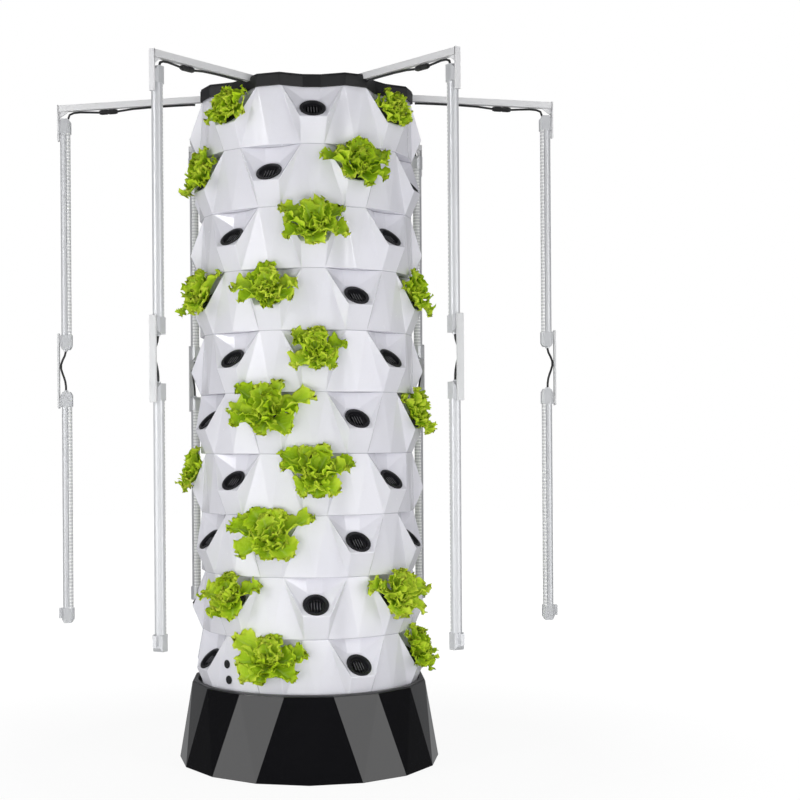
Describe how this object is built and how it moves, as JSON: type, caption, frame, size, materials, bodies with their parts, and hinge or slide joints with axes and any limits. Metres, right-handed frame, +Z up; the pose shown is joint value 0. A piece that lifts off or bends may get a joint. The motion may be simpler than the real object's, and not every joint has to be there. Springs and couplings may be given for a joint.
{
  "type": "aeroponic tower",
  "caption": "Tall hydroponic planting tower of stacked faceted rings with planted pockets, a faceted black water reservoir below and hanging grow lights on arms from the top cap.",
  "frame": {"origin": "middle of the reservoir's foot, on the floor", "axes": "+Z up along the tower, front towards -Y, +X to the right"},
  "size_m": [1.296, 1.1086, 1.7353],
  "materials": {
    "ring_gloss": "high gloss, moulded",
    "cup_black": "satin, moulded",
    "leaf": "living leaf, soft sheen",
    "arm_painted": "satin powder coat",
    "lamp_aluminium": "satin, extruded",
    "tank_gloss": "high gloss, moulded",
    "deck_black": "satin",
    "pump_black": "satin",
    "impeller_grey": "satin",
    "pipe_grey": "satin",
    "cap_black": "satin",
    "plug_rubber": "matte",
    "lens_clear": "clear, ribbed",
    "led_board": "satin, printed board",
    "joiner_plastic": "satin",
    "lead_black": "matte sheath"
  },
  "bodies": {
    "tower": {"reservoir_tank": "tank_gloss", "reservoir_floor": "tank_gloss", "reservoir_deck": "deck_black", "pump_body": "pump_black", "pump_strainer": "pump_black", "riser_pipe": "pipe_grey", "riser_couplings": "pump_black", "spray_head": "pump_black", "planting_ring_01": "ring_gloss", "planting_ring_02": "ring_gloss", "planting_ring_03": "ring_gloss", "planting_ring_04": "ring_gloss", "planting_ring_05": "ring_gloss", "planting_ring_06": "ring_gloss", "planting_ring_07": "ring_gloss", "planting_ring_08": "ring_gloss", "planting_ring_09": "ring_gloss", "planting_ring_10": "ring_gloss", "net_cups_01": "cup_black", "net_cups_02": "cup_black", "net_cups_03": "cup_black", "net_cups_04": "cup_black", "net_cups_05": "cup_black", "net_cups_06": "cup_black", "net_cups_07": "cup_black", "net_cups_08": "cup_black", "net_cups_09": "cup_black", "net_cups_10": "cup_black", "lettuce_01": "leaf", "lettuce_02": "leaf", "lettuce_03": "leaf", "lettuce_04": "leaf", "lettuce_05": "leaf", "lettuce_06": "leaf", "lettuce_07": "leaf", "lettuce_08": "leaf", "lettuce_09": "leaf", "lettuce_10": "leaf", "top_cap": "cap_black", "light_arm_1": "arm_painted", "light_arm_2": "arm_painted", "light_arm_3": "arm_painted", "light_arm_4": "arm_painted", "light_arm_5": "arm_painted", "light_arm_6": "arm_painted", "upper_lamps": "lamp_aluminium", "lower_lamps": "lamp_aluminium", "lamp_lenses": "lens_clear", "led_strips": "led_board", "lamp_joiners": "joiner_plastic", "arm_leads": "lead_black", "lead_connectors": "lead_black", "link_leads": "lead_black"},
    "impeller": {"pump_impeller": "impeller_grey"},
    "lid": {"top_lid": "cap_black"},
    "plug_upper": {"port_plug_upper": "plug_rubber"},
    "plug_lower": {"port_plug_lower": "plug_rubber"},
    "cup_ring_05": {"loose_cup_ring_05": "cup_black"},
    "cup_ring_08": {"loose_cup_ring_08": "cup_black"},
    "cup_ring_09": {"loose_cup_ring_09": "cup_black"}
  },
  "joints": [
    {"name": "impeller_spin", "type": "hinge", "parent": "tower", "child": "impeller", "pos_m": [0, -0.017, 0.046], "axis": [0, 1, 0], "continuous": true},
    {"name": "lid_lift", "type": "slide", "parent": "tower", "child": "lid", "axis": [0, 0, 1], "range_m": [0, 0.12]},
    {"name": "plug_upper_pull", "type": "slide", "parent": "tower", "child": "plug_upper", "axis": [-0.7598, -0.6501, 0], "range_m": [0, 0.03]},
    {"name": "plug_lower_pull", "type": "slide", "parent": "tower", "child": "plug_lower", "axis": [-0.7598, -0.6501, 0], "range_m": [0, 0.03]},
    {"name": "cup_ring_09_lift", "type": "slide", "parent": "tower", "child": "cup_ring_09", "axis": [0.0469, -0.7056, 0.7071], "range_m": [0, 0.05]},
    {"name": "cup_ring_08_lift", "type": "slide", "parent": "tower", "child": "cup_ring_08", "axis": [0.3133, -0.6339, 0.7071], "range_m": [0, 0.05]},
    {"name": "cup_ring_05_lift", "type": "slide", "parent": "tower", "child": "cup_ring_05", "axis": [0.532, -0.4658, 0.7071], "range_m": [0, 0.05]}
  ]
}
